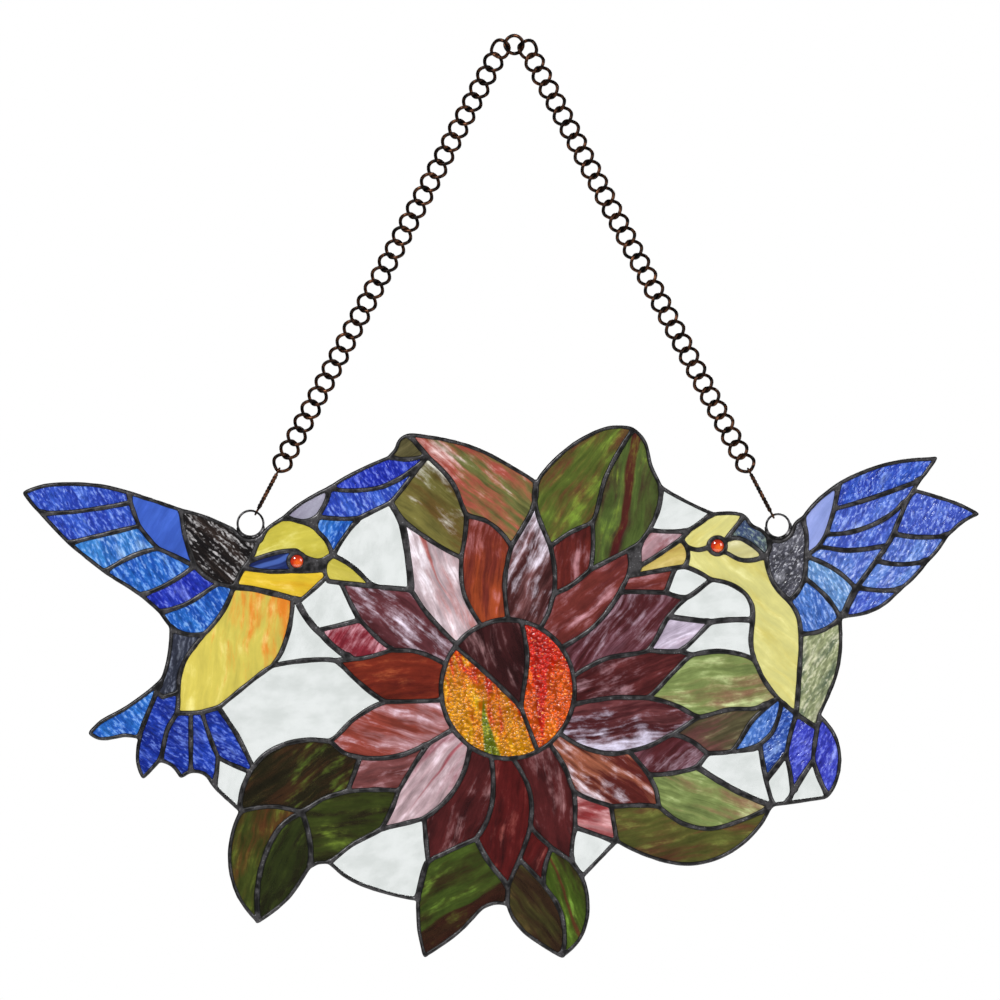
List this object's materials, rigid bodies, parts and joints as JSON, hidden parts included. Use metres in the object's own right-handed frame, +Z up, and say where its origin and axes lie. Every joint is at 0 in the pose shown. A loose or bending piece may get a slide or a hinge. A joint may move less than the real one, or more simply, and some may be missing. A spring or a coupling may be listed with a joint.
{
  "type": "stained glass panel",
  "caption": "Hanging stained glass panel: two birds beside a large flower with leaves, cut glass joined by dark solder, with a curb chain to hang it by.",
  "frame": {"origin": "the top of the hole in the chain's top link, where the panel hangs from", "axes": "+Z up along the pull of gravity, +X to the right seen from the front, +Y from the front to the back"},
  "size_m": [0.6352, 0.0074, 0.6129],
  "materials": {
    "feather_blue": "deep blue glass with a fine ripple",
    "smooth_blue": "smooth periwinkle blue glass",
    "slate": "dark grey streaked glass",
    "yellow": "pale yellow opalescent glass",
    "orange": "golden orange glass",
    "clear": "clear glass with a faint texture",
    "mauve": "pale mauve opalescent glass",
    "olive": "streaked green and brown glass",
    "dark_leaf": "dark green and brown streaked glass",
    "petal_red": "maroon glass with white and lilac wisps",
    "pale_pink": "pale pink wispy glass",
    "mottled": "mottled green glass",
    "jewel_red": "orange-red pressed glass jewel",
    "solder": "lumpy solder bead with a dark patina",
    "blackened_wire": "blackened steel wire"
  },
  "bodies": {
    "root": {"bottom_left_leaf": "olive", "bottom_right_leaf": "olive", "chain_left": "blackened_wire", "chain_right": "blackened_wire", "clear_above_left_beak": "clear", "clear_above_right_beak": "clear", "clear_below_left_beak": "clear", "clear_below_right_beak": "clear", "clear_left": "clear", "clear_lower_left": "clear", "clear_lower_right": "clear", "clear_right": "clear", "heart_maroon": "petal_red", "heart_red": "orange", "heart_yellow": "orange", "left_back": "slate", "left_beak": "yellow", "left_belly": "yellow", "left_cheek": "orange", "left_crown": "yellow", "left_eye": "jewel_red", "left_eye_stripe": "feather_blue", "left_far_wing_feathers": "feather_blue", "left_far_wing_mauve": "mauve", "left_nape": "slate", "left_tail_clear": "clear", "left_tail_feathers": "feather_blue", "left_wing_feathers": "feather_blue", "left_wing_shoulder": "smooth_blue", "lower_left_leaves": "dark_leaf", "lower_right_leaf": "olive", "petal_pale_pink": "pale_pink", "petals_below": "petal_red", "petals_left": "petal_red", "petals_lower_left": "petal_red", "petals_lower_right": "petal_red", "petals_right": "petal_red", "petals_top": "petal_red", "petals_upper_right": "petal_red", "right_back": "slate", "right_beak": "yellow", "right_belly": "yellow", "right_crown": "yellow", "right_eye": "jewel_red", "right_flank": "mottled", "right_leaf": "olive", "right_neck_patch": "yellow", "right_tail_feathers": "feather_blue", "right_wing_feathers": "feather_blue", "right_wing_shoulder": "smooth_blue", "ring_left": "blackened_wire", "ring_right": "blackened_wire", "solder_lattice": "solder", "tie_left": "blackened_wire", "tie_right": "blackened_wire", "top_leaf": "olive", "top_link": "blackened_wire", "upper_left_leaf": "olive", "upper_left_leaf_tip": "olive"}
  },
  "joints": []
}
